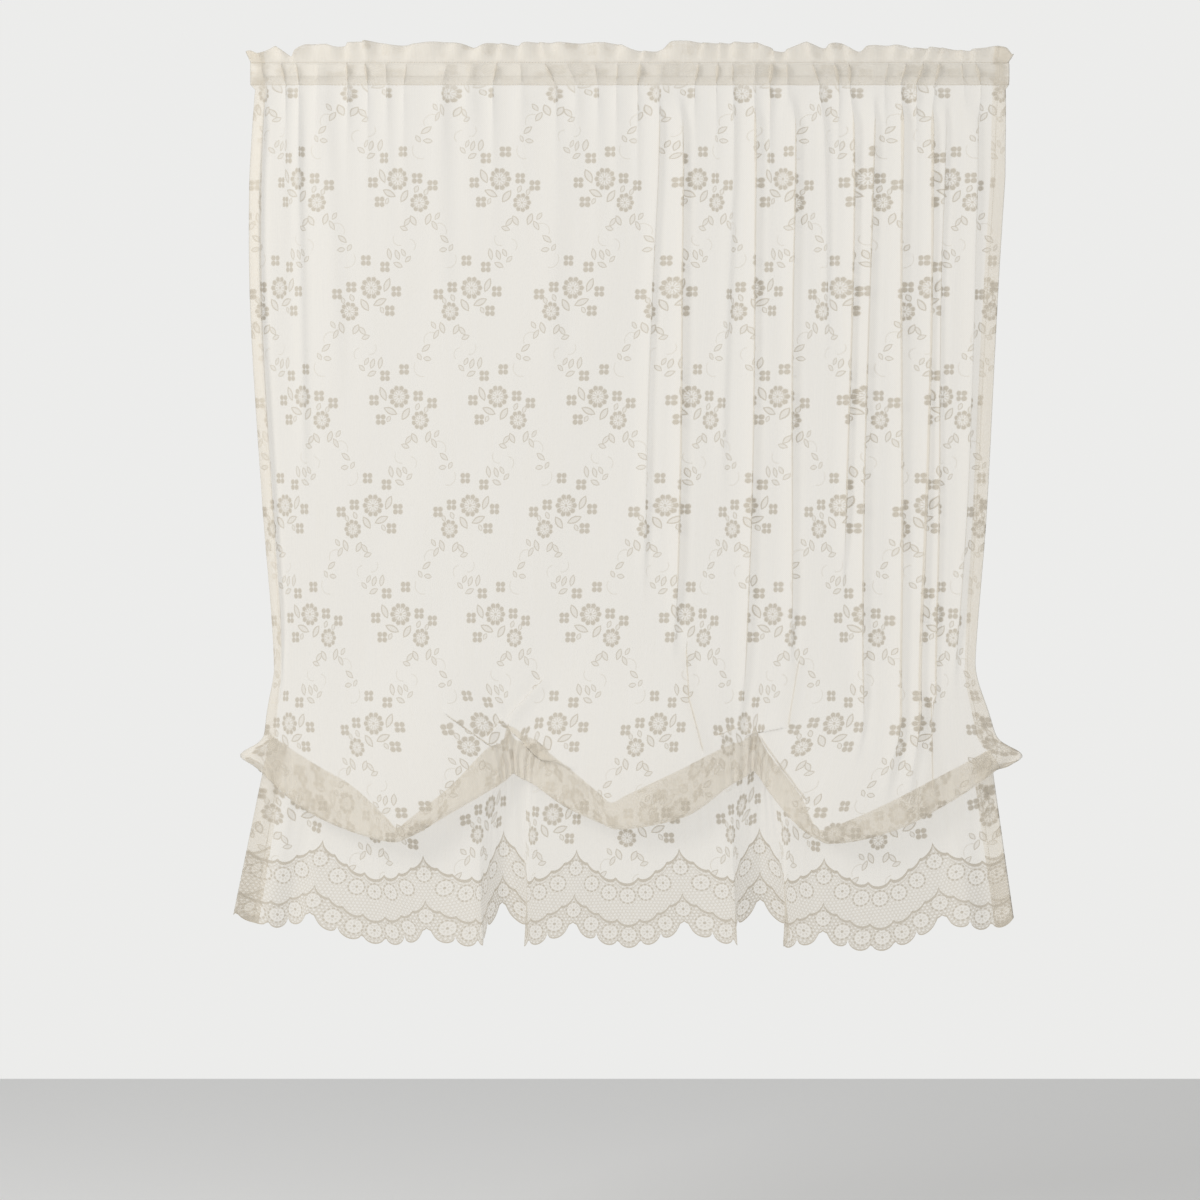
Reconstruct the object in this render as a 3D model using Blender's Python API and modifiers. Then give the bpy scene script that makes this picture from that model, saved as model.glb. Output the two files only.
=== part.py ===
"""Balloon curtain: one panel of sheer lace, gathered on a slim flat curtain rod.

The panel is a single cloth. Its top is turned over into a frill and a rod pocket, the body hangs
from the pocket, and four hidden ties draw the lower part up. Between the ties the cloth sags in three
swags: it turns up behind itself at a low fold, turns down again at a high fold and ends in a skirt with a
waved lace hem.

Metres, +Z up, +X to the right as seen from the room, and the room is towards -Y. The origin is on the
wall, midway between the rod's two ends and at the height of the rod's middle.
"""
import math
from collections import namedtuple

import bmesh
import bpy
import numpy as np

MM = 0.001

# ---- the rod: a flat bar whose ends turn back to the wall ----
ROD_HALF_WIDTH = 530 * MM     # from the middle to the outside of an end
ROD_PROJECTION = 53 * MM      # from the wall to the bar's front
ROD_HEIGHT = 17 * MM
ROD_THICKNESS = 6 * MM
ROD_CORNER = 15 * MM          # radius of the turn, to the middle of the bar
ROD_CORNER_STEPS = 5
ROD_EDGE = 1 * MM
ROD_Y = ROD_THICKNESS / 2 - ROD_PROJECTION

# ---- the lace: its columns lie at places across the flat cloth, in millimetres ----
CLOTH = 1.2 * MM
EDGE_LEFT, EDGE_RIGHT = 80, 1311
HEM_WAVE_START = 23           # a cusp of the lace border lies here, and every wave further on
HEM_WAVE_LENGTH = 150
COLUMNS_PER_WAVE = 8          # two to each gather on the rod
END_REACH = 40                # how much of the cloth, at each side edge, leans in or out

# ---- how wide the cloth hangs: under the rod, and just above the swags ----
Across = namedtuple("Across", "flat top bottom")
ACROSS = (
    Across(80, -528, -501),
    Across(132, -487, -477),
    Across(173, -464, -445),
    Across(282, -362, -358),
    Across(323, -325, -320),
    Across(432, -220, -226),
    Across(473, -182, -190),
    Across(582, -74, -100),
    Across(623, -35, -60),
    Across(732, 62, 40),
    Across(773, 96, 74),
    Across(882, 182, 161),
    Across(923, 213, 196),
    Across(1032, 296, 287),
    Across(1073, 329, 320),
    Across(1182, 418, 404),
    Across(1223, 450, 428),
    Across(1311, 527, 485),
)
ACROSS_TOP, ACROSS_BOTTOM = -150 * MM, -914 * MM
# The side edges wander: to the right of a straight line where positive.
Side = namedtuple("Side", "height left right")
SIDES = (
    Side(-1000, 0, 0),
    Side(-913, -2, 0),
    Side(-834, 6, -7),
    Side(-600, -3, -2),
    Side(-320, -10, -3),
    Side(-20, 0, 0),
)
SIDE_REACH = 70               # how far in from the edges that can be told

# ---- heading, as a section through the pocket and the frill ----
# depth is from the rod's middle towards the wall, height from the rod's middle, lean is how far the ends
# lean out, and pleat is how far the ridges stand out, towards the room where negative.
Section = namedtuple("Section", "name depth height lean pleat")
HEADING = (
    Section("edge of the turned cloth", -0.8, -20.5, -10, -1.5),
    Section("pocket, behind, low", 5.8, -9.0, -11, 5.0),
    Section("pocket, behind, high", 5.8, 8.0, -11, 5.0),
    Section("over the rod, behind", 4.8, 10.6, -8, 1.0),
    Section("top stitching, behind", 1.3, 9.3, -2, -2.0),
    Section("frill, behind", 3.4, 22.0, 5, -3.2),
    Section("frill, turned edge, behind", 2.3, 35.0, 11, -4.6),
    Section("frill, turned edge, front", -2.3, 35.0, 11, -4.6),
    Section("frill, front", -3.4, 22.0, 5, -3.2),
    Section("top stitching, front", -1.3, 9.3, 0, -2.0),
    Section("over the rod, front", -4.8, 10.6, 0, -2.5),
    Section("pocket, front, high", -5.8, 8.0, 0, -5.5),
    Section("pocket, front, low", -5.8, -9.0, 0, -6.5),
    Section("lower stitching", -3.2, -20.5, 0, -3.0),
)
FRILL_FOOT, FRILL_TOP = 9.3, 35.0   # the heights, in millimetres, between which the frill's edge waves
FRILL_WAVE = 3 * MM           # the frill's edge rises and falls by this much
PLEAT_UNEVENNESS = 0.45

# ---- the body, from the pocket down to the low fold ----
BODY_STEPS = (0.05, 0.13, 0.26, 0.44, 0.62, 0.77, 0.88, 0.935, 0.972)
BODY_PLEAT = 7 * MM           # the gathers just under the pocket
BODY_PLEAT_FADE = 0.09        # share of the drop in which they fade to a third
# Soft upright folds: flat is where they lie across the flat cloth, height how far they stand out.
Ridge = namedtuple("Ridge", "flat height width")
RIDGES = (
    Ridge(104, 4, 22),
    Ridge(176, 3, 30),
    Ridge(706, 5, 26),
    Ridge(752, 7, 26),
    Ridge(878, 7, 26),
    Ridge(952, 7, 26),
    Ridge(1060, 7, 28),
    Ridge(1141, 8, 26),
    Ridge(1190, 6, 24),
    Ridge(1268, 6, 24),
)

# ---- the swags, at places across the flat cloth: the low fold, the high fold and how far they stand out ----
Swag = namedtuple("Swag", "flat low_x low_z high_x high_z pouf")
SWAGS = (
    Swag(80, -514, -984, -505, -930, 4),
    Swag(145, -460, -1030, -440, -972, 16),
    Swag(200, -410, -1055, -392, -1000, 26),
    Swag(290, -328, -1078, -326, -1060, 34),
    Swag(365, -246, -1036, -253, -1003, 26),
    Swag(430, -184, -1000, -193, -945, 10),
    Swag(480, -160, -987, -171, -937, 3),
    Swag(540, -138, -997, -136, -942, 9),
    Swag(600, -91, -1029, -86, -977, 22),
    Swag(680, -20, -1060, -26, -1025, 32),
    Swag(780, 76, -1043, 68, -980, 26),
    Swag(855, 142, -999, 140, -944, 10),
    Swag(910, 171, -983, 175, -927, 3),
    Swag(960, 190, -1004, 190, -950, 10),
    Swag(1030, 238, -1060, 243, -1022, 24),
    Swag(1065, 275, -1080, 265, -1064, 32),
    Swag(1150, 362, -1064, 346, -1033, 28),
    Swag(1250, 452, -1020, 440, -985, 14),
    Swag(1311, 517, -976, 505, -951, 4),
)
TIES = (80, 480, 910, 1311)
TIE_PLEAT = 4 * MM            # the gathers at a tie
TIE_REACH = 62                # how far they reach across the flat cloth
TIE_RISE = 60 * MM            # and how far they reach up and down
TIE_BULGE = 30 * MM           # the side edges bulge out beside the end ties
TIE_BULGE_HEIGHT = -958 * MM
TIE_BULGE_REACH = 16 * MM
LAYER_GAP = 5.5 * MM          # between the cloth's layers where it is tied
POUF_START, POUF_END = 0.74, 0.99
LOW_FOLD_ROUND = 0.13         # the low fold is this share of the pouf rounder than at a tie
HIGH_FOLD_RADIUS = 2.6 * MM

# ---- the skirt, from the high fold down to the hem ----
SKIRT_STEPS = (0.10, 0.25, 0.42, 0.60, 0.80, 1.0)
HEM_Z = -1232 * MM            # the lowest scallops, midway between ties
HEM_WAVE = 42 * MM            # height of the border's waves
# Where the hem hangs: depth is towards the wall, and lift is how far the ties raise it.
Hem = namedtuple("Hem", "flat x depth lift")
HEM = (
    Hem(80, -556, -4, 40),
    Hem(98, -530, 5, 36),
    Hem(113, -508, -3, 27),
    Hem(141, -480, 5, 21),
    Hem(173, -449, -3, 12),
    Hem(248, -358, -5, 7),
    Hem(323, -285, -4, -10),
    Hem(398, -206, -14, 6),
    Hem(428, -204, 8, 10),
    Hem(473, -180, 22, 24),
    Hem(512, -143, 16, 12),
    Hem(545, -148, -14, 5),
    Hem(623, -80, -7, -1),
    Hem(698, -1, -3, 1),
    Hem(773, 76, -3, 0),
    Hem(848, 150, -14, 6),
    Hem(878, 147, 8, 12),
    Hem(923, 184, 22, 28),
    Hem(968, 226, 16, 10),
    Hem(1010, 214, -14, 2),
    Hem(1073, 270, -9, -13),
    Hem(1148, 355, -3, -3),
    Hem(1223, 438, 1, 8),
    Hem(1255, 476, -8, 18),
    Hem(1283, 508, 6, 24),
    Hem(1311, 538, -3, 36),
)


def plain_material(name, colour, roughness, metallic=0.0):
    """A Principled material of one colour."""
    material = bpy.data.materials.new(name)
    material.use_nodes = True
    shader = material.node_tree.nodes["Principled BSDF"]
    shader.inputs["Base Color"].default_value = (*colour, 1.0)
    shader.inputs["Roughness"].default_value = roughness
    shader.inputs["Metallic"].default_value = metallic
    return material


def read(table, column, at, key="flat"):
    """A table's column at the places given, in metres, on a smooth curve that never overshoots."""
    places = np.array([getattr(row, key) for row in table], float)
    values = np.array([getattr(row, column) for row in table], float)
    slopes = np.diff(values) / np.diff(places)
    tangents = np.concatenate(([slopes[0]], np.zeros(len(values) - 2), [slopes[-1]]))
    steady = np.flatnonzero(slopes[:-1] * slopes[1:] > 0)
    before, after = slopes[steady], slopes[steady + 1]
    tangents[steady + 1] = 2 * before * after / (before + after)
    i = np.clip(np.searchsorted(places, at) - 1, 0, len(places) - 2)
    span = places[i + 1] - places[i]
    t = (at - places[i]) / span
    along = values[i] + (values[i + 1] - values[i]) * t * t * (3 - 2 * t)
    lean = t * (1 - t) * span * (tangents[i] * (1 - t) - tangents[i + 1] * t)
    return (along + lean) * MM


def ease(value, start, end):
    """0 before the start, 1 after the end, and a smooth rise between them."""
    t = np.clip((value - start) / (end - start), 0, 1)
    return t * t * (3 - 2 * t)


def uneven(flat):
    """A slow wander between about -1 and 1, so that no two gathers are alike."""
    return 0.6 * np.sin(flat / 61 + 0.7) + 0.4 * np.sin(flat / 23.5 + 2.1)


def columns_of_cloth():
    """Where the columns lie across the flat cloth, with one on every cusp of the border."""
    step = HEM_WAVE_LENGTH / COLUMNS_PER_WAVE
    first = round((EDGE_LEFT - HEM_WAVE_START) / step)
    last = round((EDGE_RIGHT - HEM_WAVE_START) / step)
    flat = HEM_WAVE_START + step * np.arange(first, last + 1)
    flat[0], flat[-1] = EDGE_LEFT, EDGE_RIGHT
    return flat


def body_across(flat, z):
    """Where the cloth lies across at each height, before its folds."""
    top, bottom = read(ACROSS, "top", flat), read(ACROSS, "bottom", flat)
    share = np.clip((z - ACROSS_TOP) / (ACROSS_BOTTOM - ACROSS_TOP), 0, 1.08)
    left = read(SIDES, "left", z / MM, "height") * np.exp((EDGE_LEFT - flat) / SIDE_REACH)
    right = read(SIDES, "right", z / MM, "height") * np.exp((flat - EDGE_RIGHT) / SIDE_REACH)
    return top + (bottom - top) * share + left + right


def rows_of_cloth():
    """The cloth's surface as rows of points, from the turned edge behind the rod down to the hem."""
    flat = columns_of_cloth()
    ridge = np.arange(len(flat)) % 2 * (1 + PLEAT_UNEVENNESS * uneven(flat))
    from_left, from_right = flat - EDGE_LEFT, EDGE_RIGHT - flat
    outward = np.clip(1 - from_right / END_REACH, 0, 1) - np.clip(1 - from_left / END_REACH, 0, 1)
    rows = []

    def add(x, y, z):
        rows.append(np.stack(np.broadcast_arrays(x, y, z), axis=1))

    for section in HEADING:
        y = ROD_Y + (section.depth + section.pleat * ridge) * MM
        in_frill = ease(section.height, FRILL_FOOT, FRILL_TOP)
        z = section.height * MM + FRILL_WAVE * in_frill * uneven(flat * 0.8)
        add(body_across(flat, np.zeros(len(flat))) + section.lean * MM * outward, y, z)

    low_x, low_z = read(SWAGS, "low_x", flat), read(SWAGS, "low_z", flat)
    high_x, high_z = read(SWAGS, "high_x", flat), read(SWAGS, "high_z", flat)
    pouf = read(SWAGS, "pouf", flat)
    tied = sum(np.exp(-(((flat - tie) / TIE_REACH) ** 2)) for tie in TIES)
    tie_pleat = -TIE_PLEAT * tied * ridge
    soft_folds = -sum(r.height * MM * np.exp(-(((flat - r.flat) / r.width) ** 2)) for r in RIDGES)
    top_y, top_z = ROD_Y + HEADING[-1].depth * MM, HEADING[-1].height * MM
    low_round = LAYER_GAP / 2 + LOW_FOLD_ROUND * pouf
    front_y = top_y - pouf

    for step in BODY_STEPS:
        z = top_z + (low_z + low_round - top_z) * step
        x = body_across(flat, z)
        x = x + (low_x - x) * ease(step, POUF_START, 1)
        x = x + TIE_BULGE * outward * np.exp(-(((z - TIE_BULGE_HEIGHT) / TIE_BULGE_REACH) ** 2))
        near_tie = ease(z, low_z + 2 * TIE_RISE, low_z)
        y = top_y - pouf * ease(step, POUF_START, POUF_END) + tie_pleat * near_tie
        y = y - BODY_PLEAT * ridge * math.exp(-step / BODY_PLEAT_FADE)
        y = y + soft_folds * ease(step, 0, 0.2) * (1 - ease(step, 0.8, 1))
        add(x, y, z)

    skirt_y = top_y + 2 * LAYER_GAP
    rise = high_z - low_z
    add(low_x, front_y + tie_pleat, low_z + low_round)
    add(low_x, front_y + low_round + tie_pleat, low_z)
    add(low_x, front_y + 2 * low_round + tie_pleat, low_z + low_round)
    inner_y = (front_y + 2 * low_round + skirt_y - 2 * HIGH_FOLD_RADIUS) / 2
    add((low_x + high_x) / 2, inner_y + tie_pleat, low_z + rise / 2)
    add(high_x, skirt_y - 2 * HIGH_FOLD_RADIUS + tie_pleat, high_z - HIGH_FOLD_RADIUS)
    add(high_x, skirt_y - HIGH_FOLD_RADIUS + tie_pleat, high_z)
    add(high_x, skirt_y + tie_pleat, high_z - HIGH_FOLD_RADIUS)

    hem_x, hem_depth = read(HEM, "x", flat), read(HEM, "depth", flat)
    turns = (flat - HEM_WAVE_START) / HEM_WAVE_LENGTH
    wave = HEM_WAVE * (1 - np.abs(np.sin(math.pi * turns)))
    hem_z = HEM_Z + read(HEM, "lift", flat)
    for step in SKIRT_STEPS:
        x = high_x + (hem_x - high_x) * step
        y = skirt_y + hem_depth * step + tie_pleat * (1 - step)
        add(x, y, high_z + (hem_z - high_z) * step + wave * step ** 4)
    return np.stack(rows)


def make_panel(collection):
    """The lace panel: a grid laid on the rows of cloth, thickened evenly to both sides."""
    points = rows_of_cloth()
    down, across = points.shape[0] - 1, points.shape[1] - 1
    work = bmesh.new()
    bmesh.ops.create_grid(work, x_segments=across, y_segments=down, size=0.5)
    for vert in work.verts:
        column = round((vert.co.x + 0.5) * across)
        row = round((0.5 - vert.co.y) * down)
        vert.co = points[row, column]
    mesh = bpy.data.meshes.new("curtain_panel")
    work.to_mesh(mesh)
    work.free()
    mesh.shade_smooth()
    panel = bpy.data.objects.new("curtain_panel", mesh)
    collection.objects.link(panel)
    thicken = panel.modifiers.new("cloth thickness", "SOLIDIFY")
    thicken.thickness = CLOTH
    thicken.offset = 0
    mesh.materials.append(plain_material("lace_cloth", (0.88, 0.84, 0.75), 0.9))
    return panel


def make_rod(collection):
    """The rod: half its plan as a ribbon on edge, mirrored, thickened and eased along its edges."""
    end_x = ROD_HALF_WIDTH - ROD_THICKNESS / 2
    centre_x, centre_y = end_x - ROD_CORNER, ROD_Y + ROD_CORNER
    plan = [(0.0, ROD_Y)]
    for i in range(ROD_CORNER_STEPS + 1):
        angle = math.pi / 2 * i / ROD_CORNER_STEPS
        plan.append((centre_x + ROD_CORNER * math.sin(angle), centre_y - ROD_CORNER * math.cos(angle)))
    plan.append((end_x, 0.0))

    work = bmesh.new()
    low = [work.verts.new((x, y, -ROD_HEIGHT / 2)) for x, y in plan]
    edges = [work.edges.new(pair) for pair in zip(low, low[1:])]
    raised = bmesh.ops.extrude_edge_only(work, edges=edges)["geom"]
    high = [item for item in raised if isinstance(item, bmesh.types.BMVert)]
    bmesh.ops.translate(work, verts=high, vec=(0, 0, ROD_HEIGHT))
    bmesh.ops.recalc_face_normals(work, faces=work.faces)
    mesh = bpy.data.meshes.new("rod")
    work.to_mesh(mesh)
    work.free()
    rod = bpy.data.objects.new("rod", mesh)
    collection.objects.link(rod)
    mirror = rod.modifiers.new("both halves", "MIRROR")
    mirror.merge_threshold = 0.00005
    thicken = rod.modifiers.new("bar thickness", "SOLIDIFY")
    thicken.thickness = ROD_THICKNESS
    thicken.offset = 0
    thicken.use_even_offset = True
    soften = rod.modifiers.new("eased edges", "BEVEL")
    soften.width = ROD_EDGE
    soften.segments = 1
    soften.limit_method = "ANGLE"
    soften.angle_limit = math.radians(40)
    mesh.materials.append(plain_material("rod_paint", (0.86, 0.85, 0.82), 0.35))
    return rod


def main():
    for leftover in list(bpy.data.objects):
        bpy.data.objects.remove(leftover)
    collection = bpy.data.collections.new("balloon_curtain")
    bpy.context.scene.collection.children.link(collection)
    make_panel(collection)
    make_rod(collection)


main()
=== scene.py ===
"""Looks of the balloon curtain: a sheer floral lace panel gathered on a slim flat rod.

The panel is one sheet of lace. Its rows run from the turned edge behind the rod, over the frill, down
the front of the pocket and the body, round the low and the high fold of the swags, and down the skirt to
the scalloped hem. Lengths in the tables are millimetres. "flat" is a place across the cut cloth, "drop" is a
place down it, measured from the rod's middle, and "rise" is a place up it, from the lowest scallop.
"""
import math
from collections import namedtuple

import bpy
import numpy as np
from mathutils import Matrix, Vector


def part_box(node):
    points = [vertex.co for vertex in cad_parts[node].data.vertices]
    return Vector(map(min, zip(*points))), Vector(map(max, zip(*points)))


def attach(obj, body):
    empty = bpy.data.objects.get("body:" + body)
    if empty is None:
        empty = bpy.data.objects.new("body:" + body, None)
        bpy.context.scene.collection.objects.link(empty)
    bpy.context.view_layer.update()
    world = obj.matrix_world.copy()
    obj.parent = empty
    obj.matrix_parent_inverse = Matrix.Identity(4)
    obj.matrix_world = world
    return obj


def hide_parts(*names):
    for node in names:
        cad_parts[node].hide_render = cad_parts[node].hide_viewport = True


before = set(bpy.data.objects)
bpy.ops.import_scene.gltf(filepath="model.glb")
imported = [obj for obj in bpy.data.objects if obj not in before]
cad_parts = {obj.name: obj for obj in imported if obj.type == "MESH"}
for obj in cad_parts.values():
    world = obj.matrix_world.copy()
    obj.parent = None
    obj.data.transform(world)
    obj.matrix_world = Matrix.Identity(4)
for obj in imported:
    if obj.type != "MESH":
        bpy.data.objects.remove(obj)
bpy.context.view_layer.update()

MM = 0.001
rod_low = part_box("rod")[0]
ROD_THICKNESS = 6.0
ROD_Y = rod_low[1] / MM + ROD_THICKNESS / 2   # the middle of the rod's bar

# ---- the lace as it was cut ----
CUT_LEFT, CUT_RIGHT = 60.0, 1331.0        # the cut edges, in flat places
SIDE_HEM = 20.0                           # turned back at each side
EDGE_LEFT, EDGE_RIGHT = CUT_LEFT + SIDE_HEM, CUT_RIGHT - SIDE_HEM
HEM_LAYER_GAP = 1.0                       # from the cloth to the side hem turned back behind it

# ---- the border: one wave for each repeat of the lace ----
REPEAT = 150.0                            # across the cloth
WAVE_START = 23.0                         # a wave's cusp lies here, and every repeat further on
COLUMNS_PER_REPEAT = 56
WAVE_POWER = 0.87                         # the wave's arch is a little fuller than a sine
Line = namedtuple("Line", "cusp depth")   # rise at the wave's cusp, and how far the wave dips below it
UPPER_LINE = Line(143, 41)
SECOND_LINE = Line(81, 37)
HEM_LINE = Line(42, 26)
# Scallops: where each ends, as a share of the wave, and how deep it hangs for its width.
CORD_SCALLOPS = (0.0, 0.12, 0.235, 0.40, 0.60, 0.765, 0.88, 1.0)
CORD_SCALLOP_DEPTH = 0.31
HEM_SCALLOPS = (-0.045, 0.045, 0.215, 0.40, 0.60, 0.785, 0.955, 1.045)
HEM_SCALLOP_DEPTH = 0.46
FLAT_SCALLOP_DEPTH = 0.12                 # the small one at the cusp
SMALL_SCALLOP = 0.1                       # a scallop narrower than this share of a wave is the small one
HEM_DROP = 1407.0                         # the lowest scallop's place down the cloth

# ---- across: where flat places lie, under the rod and above the swags ----
Across = namedtuple("Across", "flat top bottom")
ACROSS = (
    Across(80, -528, -501),
    Across(132, -487, -477),
    Across(173, -464, -445),
    Across(282, -362, -358),
    Across(323, -325, -320),
    Across(432, -220, -226),
    Across(473, -182, -190),
    Across(582, -74, -100),
    Across(623, -35, -60),
    Across(732, 62, 40),
    Across(773, 96, 74),
    Across(882, 182, 161),
    Across(923, 213, 196),
    Across(1032, 296, 287),
    Across(1073, 329, 320),
    Across(1182, 418, 404),
    Across(1223, 450, 428),
    Across(1311, 527, 485),
)
ACROSS_TOP, ACROSS_BOTTOM = -150.0, -914.0
ACROSS_LIMIT = 1.08                       # the share of the way down where the cloth stops narrowing
# The side edges wander: to the right of a straight line where positive.
Side = namedtuple("Side", "height left right")
SIDES = (
    Side(-1000, 0, 0), Side(-913, -2, 0), Side(-834, 6, -7), Side(-600, -3, -2), Side(-320, -10, -3),
    Side(-20, 0, 0),
)
SIDE_REACH = 70.0                         # how far in from the edges that can be told
EDGE_REACH = 40.0                         # the strip at each side edge that leans in or out

# ---- the heading, as a section over the rod ----
# place is along the section from the cut edge, depth from the rod's middle towards the wall; pleat is how
# far the gathers stand out, towards the room where negative; sway is how far the free frill swings.
Section = namedtuple("Section", "place depth height pleat sway")
HEADING = (
    Section(0, -2.2, -20.5, -1.0, 0.0),
    Section(8, 2.5, -15.0, 2.0, 0.0),
    Section(16, 4.6, -8.5, 4.0, 0.0),
    Section(25, 4.8, 0.0, 4.5, 0.0),
    Section(34, 4.6, 8.5, 3.0, 0.0),
    Section(37.5, 1.2, 11.2, 0.4, 0.2),
    Section(43, 1.2, 17.0, 0.0, 1.6),
    Section(53, 1.3, 27.0, 0.0, 3.6),
    Section(62, 1.2, 36.5, 0.0, 5.0),
    Section(63, 0.0, 37.6, 0.0, 5.2),
    Section(64, -1.2, 36.5, 0.0, 5.0),
    Section(73, -1.3, 27.0, 0.0, 3.6),
    Section(83, -1.2, 17.0, 0.0, 1.6),
    Section(88.5, -1.4, 11.2, -1.2, 0.2),
    Section(92, -4.3, 8.5, -4.0, 0.0),
    Section(101, -4.6, 0.0, -6.5, 0.0),
    Section(110, -4.4, -8.5, -6.2, 0.0),
    Section(116, -3.8, -15.0, -5.0, 0.0),
    Section(121, -3.2, -20.5, -2.8, 0.0),
)
HEADING_ROWS = 40
BEHIND_START, BEHIND_END = 1.5, 4.4       # between these depths the cloth passes behind the rod
BODY_Y, BODY_TOP = ROD_Y + HEADING[-1].depth, HEADING[-1].height
FRILL_FOOT, FRILL_TOP = 11.2, 37.6
FRILL_REACH = 12.0                        # how far the side edges spread along the frill's table
FRILL_WANDER = 38.0                       # the frill turns about every so far
FRILL_SWING, FRILL_ROLL = 0.8, 0.6        # how far the frill follows the gathers, outward and sideways
LOWER_STITCH = 20.5
# The frill's edge, from the left end to the right: across is from the middle, top its height.
Frill = namedtuple("Frill", "across top")
FRILL = (
    Frill(-545, 25), Frill(-535, 30), Frill(-521, 25), Frill(-500, 37), Frill(-488, 32), Frill(-477, 21),
    Frill(-466, 30), Frill(-452, 39), Frill(-425, 39), Frill(-410, 35), Frill(-395, 40), Frill(-368, 43),
    Frill(-345, 40), Frill(-325, 37), Frill(-300, 39), Frill(-262, 42), Frill(-236, 40), Frill(-219, 34),
    Frill(-190, 40), Frill(-176, 39), Frill(-160, 37), Frill(-140, 42), Frill(-80, 40), Frill(-40, 41),
    Frill(-12, 38), Frill(8, 29), Frill(26, 28), Frill(46, 33), Frill(62, 42), Frill(76, 43),
    Frill(108, 40), Frill(130, 41), Frill(176, 41), Frill(192, 36), Frill(206, 28), Frill(222, 31),
    Frill(243, 42), Frill(270, 34), Frill(290, 41), Frill(308, 34), Frill(322, 27), Frill(331, 37),
    Frill(350, 38), Frill(380, 37), Frill(396, 32), Frill(430, 34), Frill(474, 29), Frill(512, 37),
    Frill(528, 34), Frill(536, 24),
)

# ---- gathers on the rod ----
GATHER_PITCH = 37.0                       # along the cut cloth, on average
GATHER_UNEVEN, GATHER_FINE_UNEVEN = 0.42, 0.25
GATHER_WANDER, GATHER_FINE_WANDER = 120.0, 47.0
GATHER_STRENGTH, GATHER_STRENGTH_SWING, GATHER_STRENGTH_WANDER = 0.75, 0.35, 90.0
GATHER_SLANT, GATHER_SLANT_WANDER = 0.55, 150.0
GATHER_FADE = 70.0                        # how far down they run into the body
GATHER_LEAN = 4.5                         # how far they roll sideways there
GATHER_AT_STITCH, GATHER_SPRING, SPRING_REACH = 2.8, 5.5, 18.0   # they spring out under the stitches
END_SPREAD = 3.0                          # the side edges lean out past the rod's ends in the pocket,
FRILL_SPREAD = 11.0                       # further out in the frill,
END_TUCK = 10.0                           # and in beside the rod's returns behind the rod
ROLL = 1.05                               # sideways, for how far a gather stands out

# ---- upright folds of the body: lap is how far the cloth rolls over itself beside the fold ----
Fold = namedtuple("Fold", "flat start end height width lap")
FOLDS = (
    Fold(104, 30, 900, 5, 9, 4),
    Fold(176, 40, 620, 3, 14, 2),
    Fold(232, 40, 520, 2, 18, 1),
    Fold(395, 30, 420, 2, 22, 1),
    Fold(560, 30, 520, 2, 24, 1),
    Fold(706, 25, 760, 6, 11, 7),
    Fold(752, 25, 850, 8, 11, 9),
    Fold(838, 25, 640, 3, 14, 3),
    Fold(878, 25, 960, 7, 11, 8),
    Fold(952, 25, 880, 7, 11, 8),
    Fold(1010, 25, 420, 4, 12, 5),
    Fold(1050, 25, 760, 7, 10, 8),
    Fold(1082, 25, 1000, 7, 11, 8),
    Fold(1141, 25, 1060, 8, 12, 9),
    Fold(1187, 25, 1060, 7, 10, 8),
    Fold(1216, 25, 1000, 5, 9, 6),
    Fold(1268, 25, 900, 6, 12, 6),
)
FOLD_ONSET, FOLD_FADE = 60.0, 160.0       # how far a fold takes to rise, and to die away
FOLD_SWAY, FOLD_SWAY_LENGTH = 5.0, 190.0
KNIFE_MIDDLE, KNIFE_SLOPE = 0.5, 1.7
LAP_ROLL = 1.6                            # sideways, for each unit of lap
# A slow ripple all over the body, slanted, from under the rod to the swags.
RIPPLE, RIPPLE_WANDER, RIPPLE_SLANT = 1.6, 110.0, 0.2
RIPPLE_START, RIPPLE_FULL, RIPPLE_END = 30.0, 130.0, 0.8
# Creases that run to the ties, from one point of the hanging cloth to another, across and in height.
Crease = namedtuple("Crease", "x0 z0 x1 z1 height width lap")
CREASES = (
    Crease(-259, -899, -190, -948, 3, 8, 8),
    Crease(-123, -853, -172, -905, 4, 9, 7),
    Crease(-179, -906, -197, -929, 4, 6, 6),
    Crease(-172, -916, -114, -962, 4, 13, 17),
    Crease(-150, -941, -80, -978, 4, 7, 8),
    Crease(78, -800, 82, -878, 4, 7, 7.5),
    Crease(82, -878, 102, -953, 4, 7, 7.5),
    Crease(236, -825, 220, -918, 4, 7, 7.5),
    Crease(162, -930, 218, -919, 3, 12, 9),
    Crease(150, -919, 122, -930, 4, 7, 7),
    Crease(182, -935, 246, -1021, 4, 8, 9),
    Crease(420, -880, 421, -1010, 4, 7, 7.5),
)

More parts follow.
